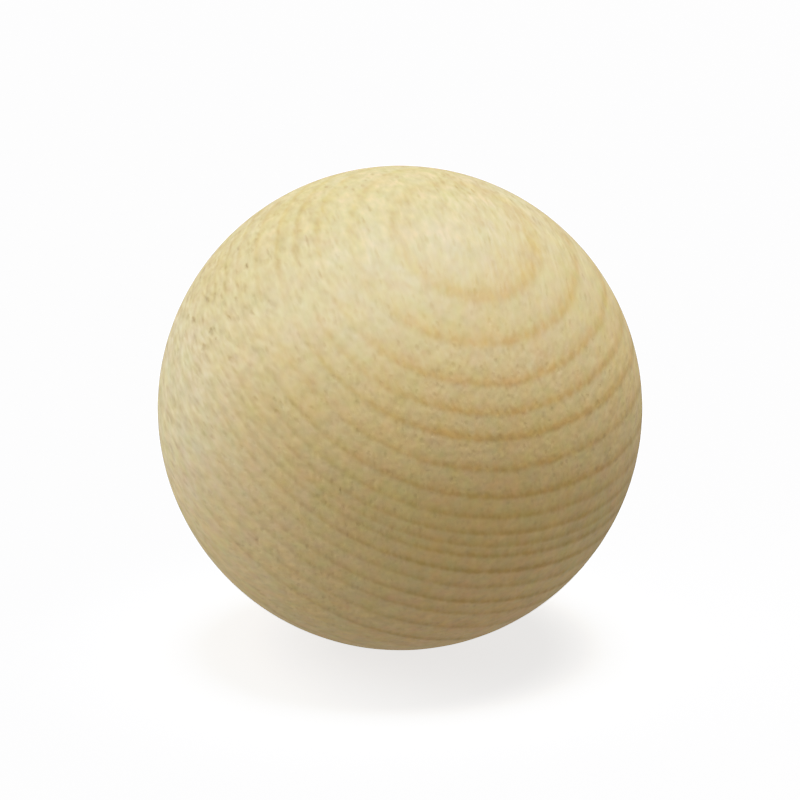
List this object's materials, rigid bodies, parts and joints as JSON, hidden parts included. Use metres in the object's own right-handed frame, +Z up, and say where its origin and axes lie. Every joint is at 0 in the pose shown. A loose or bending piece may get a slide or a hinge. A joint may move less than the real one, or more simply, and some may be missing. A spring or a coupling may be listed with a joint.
{
  "type": "wooden ball",
  "caption": "Solid turned beech ball, raw and sanded, with no hole or flat, for craft work, knobs, games or rolling on a bench.",
  "frame": {"origin": "centre of the ball", "axes": "+Z up as the ball lies in the picture, -Y towards the viewer, +X to the viewer's right"},
  "size_m": [0.05, 0.05, 0.05],
  "materials": {
    "beech": "raw sanded beech, matt, with growth rings and short ray flecks"
  },
  "bodies": {
    "root": {"ball": "beech"}
  },
  "joints": []
}
